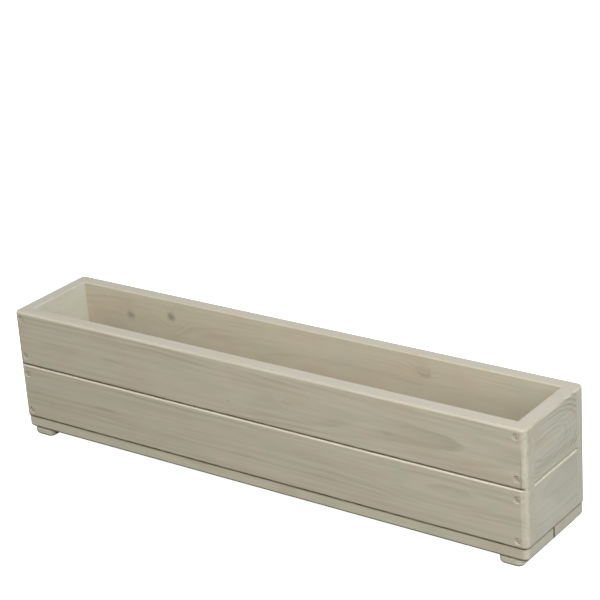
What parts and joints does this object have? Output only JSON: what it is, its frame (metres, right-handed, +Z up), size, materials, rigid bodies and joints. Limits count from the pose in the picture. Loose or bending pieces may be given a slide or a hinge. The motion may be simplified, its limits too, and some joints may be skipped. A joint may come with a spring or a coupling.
{
  "type": "window box planter",
  "caption": "Long low softwood planter trough with two-board walls, boarded bottom and cross battens as feet.",
  "frame": {"origin": "on the ground, under the middle of the trough", "axes": "+Z up, +X along the trough, +Y from the front wall to the back wall"},
  "size_m": [0.908, 0.166, 0.2109],
  "materials": {
    "wall_wood": "satin",
    "end_wood": "satin",
    "bottom_wood": "satin",
    "foot_wood": "satin",
    "screw_steel": "satin"
  },
  "bodies": {
    "root": {"front_board_upper": "wall_wood", "front_board_lower": "wall_wood", "back_board_upper": "wall_wood", "back_board_lower": "wall_wood", "left_end_board_upper": "end_wood", "left_end_board_lower": "end_wood", "right_end_board_upper": "end_wood", "right_end_board_lower": "end_wood", "bottom_board_front": "bottom_wood", "bottom_board_back": "bottom_wood", "foot_batten_left": "foot_wood", "foot_batten_right": "foot_wood", "front_left_screw_1": "screw_steel", "front_left_screw_2": "screw_steel", "front_left_screw_3": "screw_steel", "front_left_screw_4": "screw_steel", "front_right_screw_1": "screw_steel", "front_right_screw_2": "screw_steel", "front_right_screw_3": "screw_steel", "front_right_screw_4": "screw_steel", "back_left_screw_1": "screw_steel", "back_left_screw_2": "screw_steel", "back_left_screw_3": "screw_steel", "back_left_screw_4": "screw_steel", "back_right_screw_1": "screw_steel", "back_right_screw_2": "screw_steel", "back_right_screw_3": "screw_steel", "back_right_screw_4": "screw_steel", "bottom_front_screw_1": "screw_steel", "bottom_front_screw_2": "screw_steel", "bottom_front_screw_3": "screw_steel", "bottom_front_screw_4": "screw_steel", "bottom_back_screw_1": "screw_steel", "bottom_back_screw_2": "screw_steel", "bottom_back_screw_3": "screw_steel", "bottom_back_screw_4": "screw_steel", "foot_left_screw_1": "screw_steel", "foot_left_screw_2": "screw_steel", "foot_left_screw_3": "screw_steel", "foot_left_screw_4": "screw_steel", "foot_right_screw_1": "screw_steel", "foot_right_screw_2": "screw_steel", "foot_right_screw_3": "screw_steel", "foot_right_screw_4": "screw_steel"}
  },
  "joints": []
}
